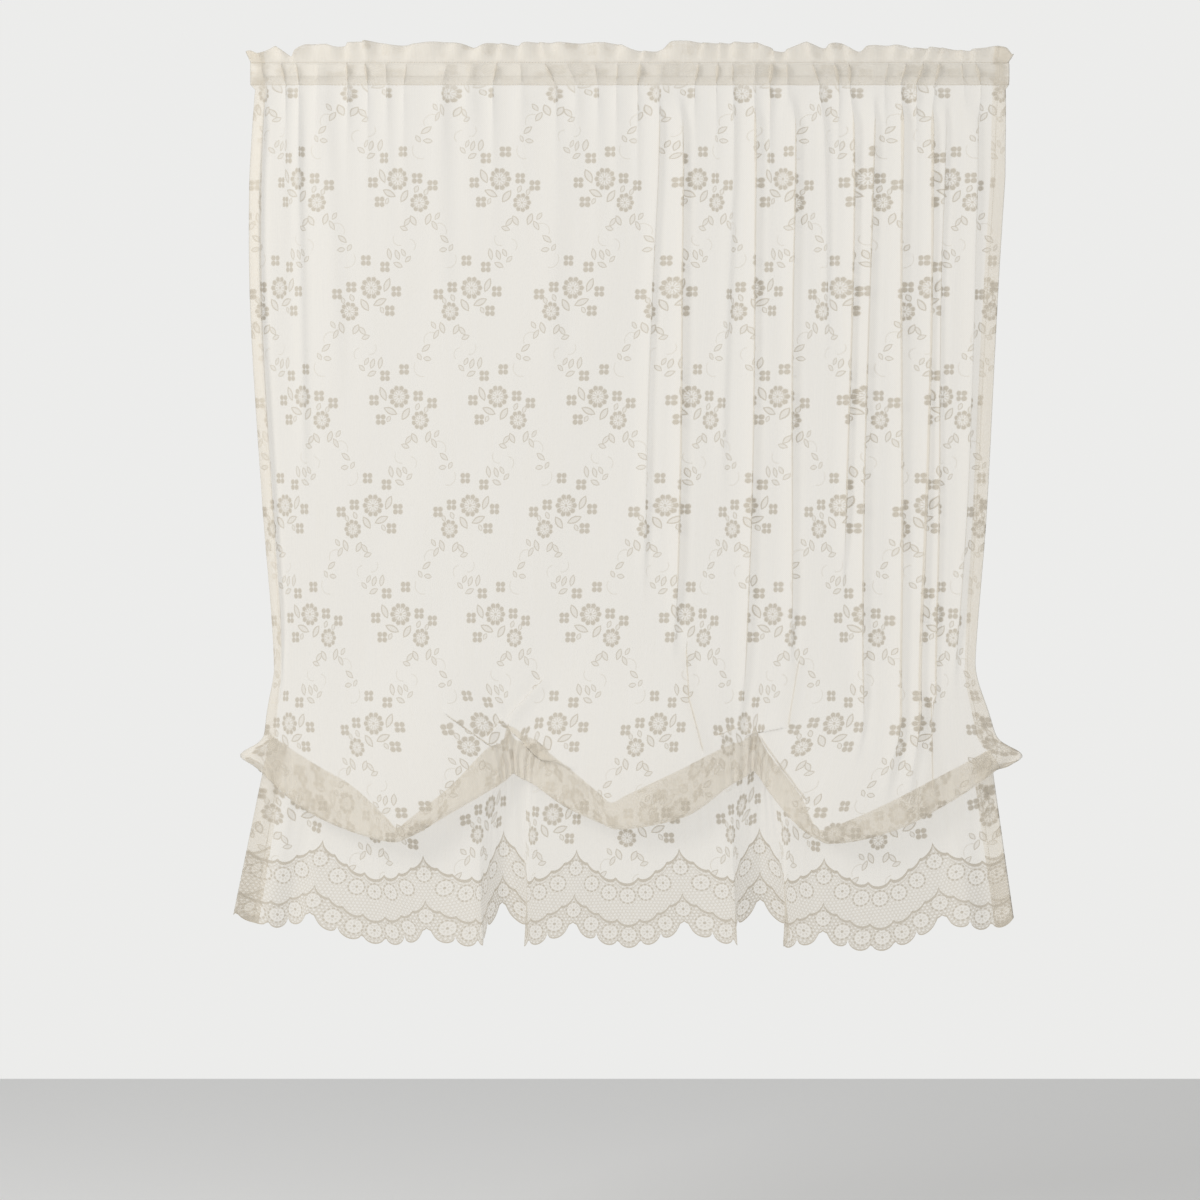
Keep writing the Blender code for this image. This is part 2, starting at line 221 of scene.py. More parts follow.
# ---- the swags, at places across the cloth: the low fold, the high fold and how far they stand out ----
Swag = namedtuple("Swag", "flat low_x low_z high_x high_z pouf")
SWAGS = (
    Swag(80, -514, -984, -505, -930, 4),
    Swag(145, -460, -1030, -440, -972, 16),
    Swag(200, -410, -1055, -392, -1000, 26),
    Swag(270, -347, -1075, -342, -1045, 33),
    Swag(290, -328, -1078, -326, -1060, 34),
    Swag(305, -312, -1073, -311, -1049, 33),
    Swag(365, -246, -1036, -253, -1003, 26),
    Swag(430, -184, -1000, -193, -945, 10),
    Swag(455, -172, -992, -182, -942, 5),
    Swag(470, -166, -986, -176, -934, 4),
    Swag(480, -163, -984, -171, -914, 3),
    Swag(490, -159, -986, -165, -931, 4),
    Swag(505, -153, -990, -158, -938, 6),
    Swag(540, -138, -997, -136, -942, 9),
    Swag(600, -91, -1029, -86, -977, 22),
    Swag(660, -38, -1053, -43, -1012, 30),
    Swag(680, -20, -1060, -26, -1025, 32),
    Swag(700, 0, -1059, -6, -1015, 32),
    Swag(780, 76, -1043, 68, -980, 26),
    Swag(855, 142, -999, 140, -944, 10),
    Swag(885, 160, -989, 163, -936, 5),
    Swag(901, 167, -984, 170, -929, 4),
    Swag(910, 171, -980, 175, -917, 3),
    Swag(920, 175, -983, 179, -928, 4),
    Swag(935, 181, -990, 184, -938, 6),
    Swag(960, 190, -1004, 190, -950, 10),
    Swag(1030, 238, -1060, 243, -1022, 24),
    Swag(1052, 260, -1074, 255, -1050, 30),
    Swag(1065, 275, -1080, 265, -1064, 32),
    Swag(1085, 295, -1079, 286, -1058, 32),
    Swag(1150, 362, -1064, 346, -1033, 28),
    Swag(1250, 452, -1020, 440, -985, 14),
    Swag(1311, 517, -976, 505, -951, 4),
)
TIES = (80, 480, 910, 1311)               # flat places
# Shares of the way down the body: where it starts and ends swelling out, where it starts to follow the low
# fold across, and where the creases die away.
POUF_START, POUF_END, FOLD_START, CREASE_END = 0.74, 0.99, 0.84, 0.97
LAYER_GAP = 5.5                           # between the layers at a swag
LOW_FOLD_ROUND = 0.13                     # how much rounder the low fold gets as it stands out
LOW_FOLD_STEP = 3.0                       # down the cloth from row to row round it
HIDDEN_SHARES = (0.2, 0.4, 0.6, 0.8)      # the rows between the low and the high fold
HIGH_FOLD_RADIUS = 2.6
TIE_PLEAT, TIE_PLEAT_PITCH, TIE_PLEAT_WANDER = 5.0, 21.0, 30.0
TIE_REACH, TIE_RISE = 62.0, 70.0          # how far the pleats show beside a tie and above it
TIE_BULGE, TIE_BULGE_Z, TIE_BULGE_REACH = 32.0, -958.0, 15.0   # the side edges flick out under their ties

# ---- where the hem hangs: depth is towards the wall, lift how far the ties raise it ----
Hem = namedtuple("Hem", "flat x depth lift")
HEM = (
    Hem(80, -556, -4, 40),
    Hem(98, -530, 5, 36),
    Hem(113, -508, -3, 27),
    Hem(141, -480, 5, 21),
    Hem(173, -449, -3, 12),
    Hem(248, -358, -5, 7),
    Hem(323, -285, -4, -10),
    Hem(398, -206, -14, 6),
    Hem(428, -204, 8, 10),
    Hem(473, -180, 22, 24),
    Hem(512, -143, 16, 12),
    Hem(545, -148, -14, 5),
    Hem(623, -80, -7, -1),
    Hem(698, -1, -3, 1),
    Hem(773, 76, -3, 0),
    Hem(848, 150, -14, 6),
    Hem(878, 147, 8, 12),
    Hem(923, 184, 22, 28),
    Hem(968, 226, 16, 10),
    Hem(1010, 214, -14, 2),
    Hem(1073, 270, -9, -13),
    Hem(1148, 355, -3, -3),
    Hem(1223, 438, 1, 8),
    Hem(1255, 476, -8, 18),
    Hem(1283, 508, 6, 24),
    Hem(1311, 538, -3, 36),
)
HEM_Z = -1232.0                           # the lowest scallop

# Rows down the body: close under the rod and near the ties, wider between. At the rows that are listed,
# the shares say how far down the body they lie.
BODY_ROWS, BODY_ROWS_AT, BODY_SHARES = 98, (0, 8, 46, 98), (0, 0.06, 0.78, 1)
FOLD_ROWS, SKIRT_ROWS = 7, 42


# ---------------------------------------------------------------- shapes

def read(table, column, at, key="flat"):
    """A table's column at the places given, on a smooth curve that never overshoots."""
    places = np.array([getattr(row, key) for row in table], float)
    values = np.array([getattr(row, column) for row in table], float)
    slopes = np.diff(values) / np.diff(places)
    tangents = np.concatenate(([slopes[0]], np.zeros(len(values) - 2), [slopes[-1]]))
    steady = np.flatnonzero(slopes[:-1] * slopes[1:] > 0)
    before, after = slopes[steady], slopes[steady + 1]
    tangents[steady + 1] = 2 * before * after / (before + after)
    i = np.clip(np.searchsorted(places, at) - 1, 0, len(places) - 2)
    span = places[i + 1] - places[i]
    t = np.clip((at - places[i]) / span, 0, 1)
    along = values[i] + (values[i + 1] - values[i]) * t * t * (3 - 2 * t)
    return along + t * (1 - t) * span * (tangents[i] * (1 - t) - tangents[i + 1] * t)


def ease(value, start, end):
    """0 before the start, 1 after the end, and a smooth rise between them."""
    t = np.clip((value - start) / (end - start), 0, 1)
    return t * t * (3 - 2 * t)


def wander(at, step, seed):
    """A slow wander between about -1 and 1, with a turn about every step."""
    turns = at / step
    return (0.5 * np.sin(2.4 * turns + seed) + 0.3 * np.sin(4.1 * turns + 2.3 * seed)
            + 0.2 * np.sin(6.7 * turns + 4.1 * seed))


def scallops(share, ends, depth_of):
    """How far the scallops hang, at shares of a wave: half-round arcs between their ends."""
    share = np.mod(share - ends[0], 1.0) + ends[0]
    i = np.clip(np.searchsorted(ends, share, side="right") - 1, 0, len(ends) - 2)
    ends = np.array(ends)
    width = ends[i + 1] - ends[i]
    t = np.clip((share - ends[i]) / width, 0, 1)
    return width * REPEAT * depth_of(width) * np.sqrt(np.clip(1 - (2 * t - 1) ** 2, 0, 1))


def cord_scallops(share):
    """How far the scallops of the border's two cords hang."""
    return scallops(share, CORD_SCALLOPS, lambda width: CORD_SCALLOP_DEPTH)


def hem_scallops(share):
    """How far the scallops of the hem hang."""
    return scallops(share, HEM_SCALLOPS,
                    lambda width: np.where(width < SMALL_SCALLOP, FLAT_SCALLOP_DEPTH, HEM_SCALLOP_DEPTH))


def wave_dip(share):
    """The border's wave: 0 at a cusp and 1 midway."""
    return np.abs(np.sin(math.pi * share)) ** WAVE_POWER


def hem_rise(flat):
    """How high the scalloped edge runs above the lowest scallop."""
    share = np.mod((flat - WAVE_START) / REPEAT, 1.0)
    return HEM_LINE.cusp - HEM_LINE.depth * wave_dip(share) - hem_scallops(share)


def columns_of_cloth():
    """Flat places of the columns between the side edges, with one on every cusp of the border."""
    step = REPEAT / COLUMNS_PER_REPEAT
    first = math.floor((EDGE_LEFT - WAVE_START) / step)
    last = math.ceil((EDGE_RIGHT - WAVE_START) / step)
    return np.clip(WAVE_START + step * np.arange(first, last + 1), EDGE_LEFT, EDGE_RIGHT)


def outward_at(flat):
    """-1 at the left side edge, 1 at the right one, and 0 between them."""
    from_left, from_right = flat - EDGE_LEFT, EDGE_RIGHT - flat
    return np.clip(1 - from_right / EDGE_REACH, 0, 1) - np.clip(1 - from_left / EDGE_REACH, 0, 1)


def gathers(flat):
    """The uneven gathers on the rod: how high they stand, 0 in a valley, and which way they face."""
    turns = (flat / GATHER_PITCH + GATHER_UNEVEN * wander(flat, GATHER_WANDER, 1.3)
             + GATHER_FINE_UNEVEN * wander(flat, GATHER_FINE_WANDER, 4.0))
    strength = GATHER_STRENGTH + GATHER_STRENGTH_SWING * wander(flat, GATHER_STRENGTH_WANDER, 2.2)
    return strength * (0.5 - 0.5 * np.cos(2 * math.pi * turns)), np.sin(2 * math.pi * turns)


def slanted(flat, height):
    """Where the gathers are read at each height: they lean this way and that across the pocket."""
    return flat + GATHER_SLANT * wander(flat, GATHER_SLANT_WANDER, 5.0) * height


def body_across(flat, z):
    """Where the cloth lies across, before its folds: it changes slowly from the rod to the swags."""
    top, bottom = read(ACROSS, "top", flat), read(ACROSS, "bottom", flat)
    share = np.clip((z - ACROSS_TOP) / (ACROSS_BOTTOM - ACROSS_TOP), 0, ACROSS_LIMIT)
    left = read(SIDES, "left", z, "height") * np.exp((EDGE_LEFT - flat) / SIDE_REACH)
    right = read(SIDES, "right", z, "height") * np.exp((flat - EDGE_RIGHT) / SIDE_REACH)
    return top + (bottom - top) * share + left + right


class Cloth:
    """The rows of the lace, gathered one after the other."""

    def __init__(self, flat):
        self.flat = flat
        self.points = []
        self.drops = []                   # the lace's place down the cloth, for the strip above each row
        self.next_drops = []              # and for the strip below it

    def add(self, x, y, z, drop, next_drop=None):
        """Adds a row. The strip below it starts at next_drop, or at drop where that isn't given."""
        rows = np.broadcast_arrays(x, y, z, self.flat)
        self.points.append(np.stack(rows[:3], axis=1))
        self.drops.append(np.broadcast_to(drop, self.flat.shape))
        self.next_drops.append(np.broadcast_to(drop if next_drop is None else next_drop, self.flat.shape))


def add_heading(cloth):
    """Up behind the rod, over into the frill, and down the front of the pocket."""
    flat = cloth.flat
    across = body_across(flat, 0.0)
    outward = outward_at(flat)
    frill_top = read(FRILL, "top", across + FRILL_REACH * outward, "across")
    middle = (HEADING[0].place + HEADING[-1].place) / 2
    for place in np.linspace(HEADING[0].place, HEADING[-1].place, HEADING_ROWS):
        depth, height = read(HEADING, "depth", place, "place"), read(HEADING, "height", place, "place")
        pleat, sway = read(HEADING, "pleat", place, "place"), read(HEADING, "sway", place, "place")
        in_frill = np.clip((height - FRILL_FOOT) / (FRILL_TOP - FRILL_FOOT), 0, 1)
        ridge, lean = gathers(slanted(flat, height))
        swing = wander(flat, FRILL_WANDER, 0.4) + FRILL_SWING * lean
        z = height + in_frill * (frill_top - FRILL_TOP)
        y = ROD_Y + depth + pleat * ridge + sway * swing
        roll = (ROLL * abs(pleat) + FRILL_ROLL * sway) * lean * (1 - np.abs(outward))
        behind = ease(depth, BEHIND_START, BEHIND_END)
        spread = END_SPREAD + (FRILL_SPREAD - END_SPREAD) * in_frill
        x = across + roll + outward * (spread - (END_TUCK + END_SPREAD) * behind)
        cloth.add(x, y, z, -z if place > middle else z - 2 * FRILL_TOP)


def knife(d):
    """How a fold stands out for its hump: its near flank in front, its far flank behind."""
    return KNIFE_MIDDLE - KNIFE_SLOPE * d


def soft_folds(flat, drop):
    """The upright folds of the body: how far they stand out and how far the cloth rolls sideways."""
    out, aside = 0.0, 0.0
    for fold in FOLDS:
        risen = ease(drop, fold.start, fold.start + FOLD_ONSET)
        strength = risen * (1 - ease(drop, fold.end - FOLD_FADE, fold.end))
        centre = fold.flat + FOLD_SWAY * np.sin(drop / FOLD_SWAY_LENGTH + fold.flat)
        d = (flat - centre) / fold.width
        hump = np.exp(-d * d)
        out = out + fold.height * strength * knife(d) * hump
        aside = aside - fold.lap * strength * LAP_ROLL * d * hump
    return out, aside


def creased(x, z):
    """The creases near the ties: how far they stand out and how far they roll the cloth over."""
    out, aside, along = 0.0, 0.0, 0.0
    for crease in CREASES:
        run_x, run_z = crease.x1 - crease.x0, crease.z1 - crease.z0
        length = math.hypot(run_x, run_z)
        run_x, run_z = run_x / length, run_z / length
        place = (x - crease.x0) * run_x + (z - crease.z0) * run_z
        d = ((x - crease.x0) * run_z - (z - crease.z0) * run_x) / crease.width
        taper = crease.width
        strength = ease(place, -taper, taper) * (1 - ease(place, length - taper, length + taper))
        hump = np.exp(-d * d) * strength
        out = out + crease.height * knife(d) * hump
        roll = -LAP_ROLL * crease.lap * d * hump
        aside, along = aside + roll * run_z, along - roll * run_x
    return out, aside, along


Lay = namedtuple("Lay", "low_x low_z high_x high_z pouf low_round tie_out")


def lay_of_swags(flat):
    """Where the folds of the swags lie, how round the low one is, and the small pleats at the ties."""
    low_x, low_z, high_x, high_z, pouf = (read(SWAGS, column, flat) for column in Swag._fields[1:])
    nearest = np.min([np.abs(flat - tie) for tie in TIES], axis=0)
    tied = np.exp(-(nearest / TIE_REACH) ** 2)
    turns = 2 * math.pi * flat / TIE_PLEAT_PITCH + wander(flat, TIE_PLEAT_WANDER, 1.0)
    tie_out = -TIE_PLEAT * (tied * (0.5 - 0.5 * np.cos(turns)))
    return Lay(low_x, low_z, high_x, high_z, pouf, LAYER_GAP / 2 + LOW_FOLD_ROUND * pouf, tie_out)


def add_body(cloth, lay):
    """Down the front, from under the rod to the low folds of the swags."""
    flat = cloth.flat
    ridge, lean = gathers(slanted(flat, -LOWER_STITCH))
    outward = outward_at(flat)
    for step in np.interp(np.arange(1, BODY_ROWS + 1), BODY_ROWS_AT, BODY_SHARES):
        z = BODY_TOP + (lay.low_z + lay.low_round - BODY_TOP) * step
        drop = -z
        out, aside = soft_folds(flat, drop)
        under_rod = np.exp(-(drop - LOWER_STITCH) / GATHER_FADE)
        near_tie = ease(z, lay.low_z + TIE_RISE, lay.low_z)
        x = body_across(flat, z) + aside + GATHER_LEAN * lean * under_rod
        x = x + (lay.low_x - x) * ease(step, FOLD_START, 1)
        x = x + TIE_BULGE * outward * np.exp(-((z - TIE_BULGE_Z) / TIE_BULGE_REACH) ** 2)
        y = BODY_Y - lay.pouf * ease(step, POUF_START, POUF_END) + lay.tie_out * near_tie
        spring = GATHER_AT_STITCH + GATHER_SPRING * ease(drop, LOWER_STITCH, LOWER_STITCH + SPRING_REACH)
        y = y - spring * ridge * under_rod - out * (1 - near_tie)
        ripple = RIPPLE * wander(flat + RIPPLE_SLANT * drop, RIPPLE_WANDER, 0.9)
        y = y - ripple * ease(drop, RIPPLE_START, RIPPLE_FULL) * (1 - ease(step, RIPPLE_END, 1))
        out, aside, along = creased(x, z)
        fade = 1 - ease(step, CREASE_END, 1)
        cloth.add(x + aside * fade, y - out * fade, z + along * fade, drop)


def add_swag_folds(cloth, lay, skirt_y, high_drop):
    """Round the low fold, up behind it, and round the high fold to the skirt."""
    body_drop = cloth.drops[-1]
    front_y = BODY_Y - lay.pouf
    low_start = lay.low_z + lay.low_round
    for k in range(1, FOLD_ROWS + 1):
        turn = math.pi * k / FOLD_ROWS
        y = front_y + lay.low_round * (1 - math.cos(turn))
        z = low_start - lay.low_round * math.sin(turn)
        cloth.add(lay.low_x, y + lay.tie_out, z, body_drop + LOW_FOLD_STEP * k)
    behind_y = front_y + 2 * lay.low_round
    inner_y = skirt_y - 2 * HIGH_FOLD_RADIUS
    behind_drop = body_drop + LOW_FOLD_STEP * FOLD_ROWS
    for share in HIDDEN_SHARES:
        x = lay.low_x + (lay.high_x - lay.low_x) * share
        y = behind_y + (inner_y - behind_y) * share + lay.tie_out
        z = low_start + (lay.high_z - HIGH_FOLD_RADIUS - low_start) * share
        cloth.add(x, y, z, behind_drop + (lay.high_z - low_start) * share)
    for k in range(FOLD_ROWS):
        turn = math.pi * k / (FOLD_ROWS - 1)
        y = inner_y + HIGH_FOLD_RADIUS * (1 - math.cos(turn))
        z = lay.high_z - HIGH_FOLD_RADIUS + HIGH_FOLD_RADIUS * math.sin(turn)
        next_drop = high_drop if k == FOLD_ROWS - 1 else None
        cloth.add(lay.high_x, y + lay.tie_out, z, behind_drop + lay.high_z - low_start, next_drop)


def add_swags_and_skirt(cloth, lay):
    """The folds of the swags, and the skirt from the high fold down to the scalloped hem."""
    flat = cloth.flat
    skirt_y = BODY_Y + 2 * LAYER_GAP
    hem_base = HEM_Z + read(HEM, "lift", flat)
    hem_x, hem_depth = read(HEM, "x", flat), read(HEM, "depth", flat)
    hem_z = hem_base + hem_rise(flat)
    add_swag_folds(cloth, lay, skirt_y, HEM_DROP - (lay.high_z - hem_base))
    high_start = lay.high_z - HIGH_FOLD_RADIUS
    for step in np.linspace(0, 1, SKIRT_ROWS + 1)[1:]:
        z = high_start + (hem_z - high_start) * step
        x = lay.high_x + (hem_x - lay.high_x) * step
        y = skirt_y + hem_depth * step + lay.tie_out * (1 - step) ** 2
        cloth.add(x, y, z, HEM_DROP - (z - hem_base))


def turn_side_hems(points, drops, flat):
    """Adds the strip that is turned back at each side, a little behind the cloth that it mirrors."""
    down = np.gradient(points, axis=0)
    aside = np.gradient(points, axis=1)
    normal = np.cross(down, aside)
    normal /= np.maximum(np.linalg.norm(normal, axis=2, keepdims=True), 1e-9)
    count = 1 + np.searchsorted(flat, EDGE_LEFT + SIDE_HEM)
    left = slice(count, 0, -1)
    right = slice(-2, -2 - count, -1)
    behind = -HEM_LAYER_GAP * normal
    turned_back = points + behind
    points = np.concatenate([turned_back[:, left], points, turned_back[:, right]], 1)
    drops = np.concatenate([drops[:, left], drops, drops[:, right]], 1)
    flat = np.concatenate([2 * EDGE_LEFT - flat[left], flat, 2 * EDGE_RIGHT - flat[right]])
    return points, drops, flat


def make_panel():
    """The lace panel: a grid of columns and rows, with its side hems turned back."""
    flat = columns_of_cloth()
    cloth = Cloth(flat)
    lay = lay_of_swags(flat)
    add_heading(cloth)
    add_body(cloth, lay)
    add_swags_and_skirt(cloth, lay)
    drops = np.stack([cloth.drops, cloth.next_drops], axis=2)
    points, drops, flat = turn_side_hems(np.stack(cloth.points), drops, flat)
    rows, columns = points.shape[:2]
    index = np.arange(rows * columns).reshape(rows, columns)
    quads = np.stack([index[:-1, :-1], index[1:, :-1], index[1:, 1:], index[:-1, 1:]], axis=-1).reshape(-1, 4)
    mesh = bpy.data.meshes.new("lace_panel")
    mesh.from_pydata((points.reshape(-1, 3) * MM).tolist(), [], quads.tolist())
    mesh.shade_smooth()
    corners = quads.reshape(-1)
    pattern = mesh.uv_layers.new(name="pattern")
    is_lower = np.tile([0, 1, 1, 0], len(quads))
    down = drops.reshape(-1, 2)[corners, 1 - is_lower]
    across = np.tile(flat, rows)[corners]
    pattern.data.foreach_set("uv", np.stack([across, down], axis=1).astype(np.float32).reshape(-1))
    laid = mesh.uv_layers.new(name="OFBake")
    across, down = np.meshgrid(np.linspace(0.01, 0.99, columns), np.linspace(0.99, 0.01, rows))
    laid_out = np.stack([across, down], axis=-1).reshape(-1, 2)
    laid.data.foreach_set("uv", laid_out[corners].astype(np.float32).reshape(-1))
    mesh.uv_layers.active = pattern
    panel = bpy.data.objects.new("lace_panel", mesh)
    bpy.context.scene.collection.objects.link(panel)
    return panel


# ---------------------------------------------------------------- materials

class Value:
    """A number in a node tree, which can be added, multiplied and compared like any other."""

    def __init__(self, tree, socket):
        self.tree, self.socket = tree, socket

    def math(self, operation, *others, clamp=False):
        node = self.tree.nodes.new("ShaderNodeMath")
        node.operation = operation
        node.use_clamp = clamp
        for slot, item in zip(node.inputs, (self, *others)):
            if isinstance(item, Value):
                self.tree.links.new(item.socket, slot)
            else:
                slot.default_value = item
        return Value(self.tree, node.outputs[0])

    def __add__(self, other):
        return self.math("ADD", other)

    def __sub__(self, other):
        return self.math("SUBTRACT", other)

    def __mul__(self, other):
        return self.math("MULTIPLY", other)

    def __truediv__(self, other):
        return self.math("DIVIDE", other)

    def floor(self):
        return self.math("FLOOR")

    def abs(self):
        return self.math("ABSOLUTE")

    def wrap(self, low, high):
        return self.math("WRAP", high, low)

    def least(self, other):
        return self.math("MINIMUM", other)

    def most(self, other):
        return self.math("MAXIMUM", other)

    def flip(self):
        """One less this."""
        return self.math("MULTIPLY_ADD", -1.0, 1.0)

    def below(self, edge, soft):
        """1 where this is under the edge, and 0 above it, over a soft step."""
        return self.math("MULTIPLY_ADD", -1.0 / soft, edge / soft + 0.5, clamp=True)

    def band(self, low, high, soft):
        """1 between low and high, with soft sides."""
        return (self - (low + high) / 2).abs().below((high - low) / 2, soft)


def vector_node(tree, operation, first, second=None):
    """A Vector Math node on a socket, with a fixed second vector where it takes one."""
    node = tree.nodes.new("ShaderNodeVectorMath")
    node.operation = operation
    tree.links.new(first, node.inputs[0])
    if second is not None:
        node.inputs[1].default_value = second
    return node.outputs["Value" if operation in ("LENGTH", "DISTANCE", "DOT_PRODUCT") else "Vector"]


def combine(tree, x, y):
    """A vector from two values."""
    node = tree.nodes.new("ShaderNodeCombineXYZ")
    tree.links.new(x.socket, node.inputs[0])
    tree.links.new(y.socket, node.inputs[1])
    return node.outputs[0]


def separate(tree, vector):
    """The first two values of a vector."""
    node = tree.nodes.new("ShaderNodeSeparateXYZ")
    tree.links.new(vector, node.inputs[0])
    return Value(tree, node.outputs[0]), Value(tree, node.outputs[1])


def tint(tree, factor, first, second):
    """A colour between two others."""
    node = tree.nodes.new("ShaderNodeMix")
    node.data_type = "RGBA"
    node.inputs["A"].default_value = first
    node.inputs["B"].default_value = second
    tree.links.new(factor, node.inputs["Factor"])
    return node.outputs["Result"]


def mixed_shader(tree, factor, first, second):
    """A Mix Shader node between two shaders' sockets, by a number or by a socket."""
    node = tree.nodes.new("ShaderNodeMixShader")
    if isinstance(factor, float):
        node.inputs[0].default_value = factor
    else:
        tree.links.new(factor, node.inputs[0])
    tree.links.new(first, node.inputs[1])
    tree.links.new(second, node.inputs[2])
    return node.outputs[0]


# The bouquet, in millimetres from its larger flower, with down positive. Rows of bouquets lie
# ROW_PITCH apart, and every second row is the mirror image, half a repeat along.
ROW_PITCH = 152.2
ROW_TOP = 17.0                            # a row starts this far above its larger flowers
CELL_LEFT = 63.0                          # and a bouquet's cell this far to their left
PLAIN_ROW, MIRRORED_ROW = 23.0, 132.0     # flat places of their larger flowers
Bloom = namedtuple("Bloom", "x y radius petals")
BLOOMS = (Bloom(0, 0, 15.5, 10), Bloom(32, 33, 13.0, 9))
Floret = namedtuple("Floret", "x y")
FLORETS = (Floret(-38, 5), Floret(-28, 32), Floret(29, -1), Floret(50, 9), Floret(-20, 123), Floret(-49, 114))
FLORET_PETAL, FLORET_REACH = 3.8, 3.7
Leaf = namedtuple("Leaf", "x y angle length width")
LEAVES = (
    Leaf(-24, -4, 66, 21, 9),
    Leaf(-13, 20, 24, 22, 9),
    Leaf(-16, 31, -62, 10, 6),
    Leaf(10, 24, -55, 20, 9.5),
    Leaf(28, 14, -65, 11, 6.5),
    Leaf(41, 18, -70, 10, 6),
    Leaf(23, 58, 60, 16, 8),
    Leaf(14, 60, -50, 15, 7),
    Leaf(9, 69, 20, 13, 6.5),
    Leaf(44, 56, -70, 17, 8),
    Leaf(57, 52, -55, 12, 6),
    Leaf(53, 65, 60, 15, 6.5),
    Leaf(68, 84, 38, 16, 7),
    Leaf(66, 99, -8, 12, 6.5),
    Leaf(78, 96, -60, 11, 6),
    Leaf(-1, 106, 70, 15, 7),
    Leaf(8, 103, 60, 12, 6),
    Leaf(0, 120, 25, 15, 7),
    Leaf(-13, 105, 78, 17, 7),
    Leaf(15, 112, -45, 12, 6),
)
Tendril = namedtuple("Tendril", "x y radius side_x side_y")
TENDRILS = (
    Tendril(60, 73, 11, 0.7, -0.7),
    Tendril(74, 112, 12, 0.8, 0.6),
    Tendril(2, 84, 9, -0.8, 0.6),
    Tendril(17, 93, 9, 0.8, -0.3),
)
ARC = math.cos(math.radians(70))          # a tendril runs 70 degrees to each side of where it faces
HEADING_END, HEADING_FADE = 22.0, 16.0    # the flowers hardly show in the gathered heading
HEADING_SHARE = 0.3
# Rings and rims, as low edge, high edge and softness: the flower's or leaf's own edge is at 1.
PETAL_RING, PETAL_VEINS, LEAF_RIM = (0.55, 0.98, 0.12), (0.2, 0.56, 0.12), (0.66, 1.1, 0.2)
PETAL_LOBE = 0.06                         # how far the petals' tips reach past their clefts
PETAL_SPLIT = 0.55                        # how much of the lace the clefts leave out
TENDRIL_HALF_WIDTH = 0.6
FLORET_DENSITY, RIM_DENSITY, LEAF_DENSITY, TENDRIL_DENSITY = 0.98, 0.9, 0.3, 0.5
VEIN_DENSITY, EYE_DENSITY = 0.7, 0.8


def bloom_petals(tree, x, y, petals):
    """How dense a round flower is: a ring of petals round an open middle with veins and an eye."""
    r = (x * x + y * y).math("SQRT")
    turn = y.math("ARCTAN2", x)
    lobes = (turn * petals).math("COSINE")
    ring = (r - lobes * PETAL_LOBE).band(*PETAL_RING)
    split = lobes.below(-0.8, 0.3).flip() * PETAL_SPLIT + (1 - PETAL_SPLIT)
    veins = lobes.below(0.2, 0.5).flip() * r.band(*PETAL_VEINS)
    return (ring * split).most(veins * VEIN_DENSITY).most(r.below(0.15, 0.08) * EYE_DENSITY)


def turned(x, y, leaf, along_x, along_y, size):
    """How far a place lies from the leaf's middle in one direction, where the leaf's own edge is at 1."""
    start = -(leaf.x * along_x + leaf.y * along_y) / size
    return x.math("MULTIPLY_ADD", along_x / size, y.math("MULTIPLY_ADD", along_y / size, start))


def bouquets(tree, flat, drop):
    """The body's floral pattern: how dense its flowers, leaf outlines and tendrils are."""
    row = ((drop + ROW_TOP) / ROW_PITCH).floor()
    y = drop - row * ROW_PITCH
    mirrored = (row * 0.5).math("FRACT").below(0.25, 0.1)
    plain_x = (flat - PLAIN_ROW).wrap(-CELL_LEFT, REPEAT - CELL_LEFT)
    mirrored_x = (flat * -1.0 + MIRRORED_ROW).wrap(-CELL_LEFT, REPEAT - CELL_LEFT)
    x = plain_x + (mirrored_x - plain_x) * mirrored
    place = combine(tree, x, y)

    pattern = None
    for bloom in BLOOMS:
        part = bloom_petals(tree, (x - bloom.x) / bloom.radius, (y - bloom.y) / bloom.radius, bloom.petals)
        pattern = part if pattern is None else pattern.most(part)

    reach = None
    for floret in FLORETS:
        off = vector_node(tree, "SUBTRACT", place, (floret.x, floret.y, 0))
        folded = vector_node(tree, "ABSOLUTE", off)
        far = Value(tree, vector_node(tree, "DISTANCE", folded, (FLORET_REACH, FLORET_REACH, 0)))
        reach = far if reach is None else reach.least(far)
    pattern = pattern.most(reach.below(FLORET_PETAL, 1.5) * FLORET_DENSITY)

    inside = None
    for leaf in LEAVES:
        cos, sin = math.cos(math.radians(leaf.angle)), math.sin(math.radians(leaf.angle))
        along = turned(x, y, leaf, cos, sin, leaf.length / 2)
        across = turned(x, y, leaf, -sin, cos, leaf.width / 2)
        rim = along.math("MULTIPLY_ADD", along, across.abs())
        inside = rim if inside is None else inside.least(rim)
    pattern = pattern.most(inside.band(*LEAF_RIM) * RIM_DENSITY).most(inside.below(0.9, 0.2) * LEAF_DENSITY)

    for tendril in TENDRILS:
        off = vector_node(tree, "SUBTRACT", place, (tendril.x, tendril.y, 0))
        far = Value(tree, vector_node(tree, "LENGTH", off))
        ring = far.band(tendril.radius - TENDRIL_HALF_WIDTH, tendril.radius + TENDRIL_HALF_WIDTH, 0.8)
        toward = vector_node(tree, "NORMALIZE", off)
        facing = Value(tree, vector_node(tree, "DOT_PRODUCT", toward, (tendril.side_x, tendril.side_y, 0)))
        pattern = pattern.most(ring * facing.below(ARC, 0.1).flip() * TENDRIL_DENSITY)
    in_body = drop.below(HEADING_END, HEADING_FADE).flip()
    return pattern * (in_body * (1 - HEADING_SHARE) + HEADING_SHARE)


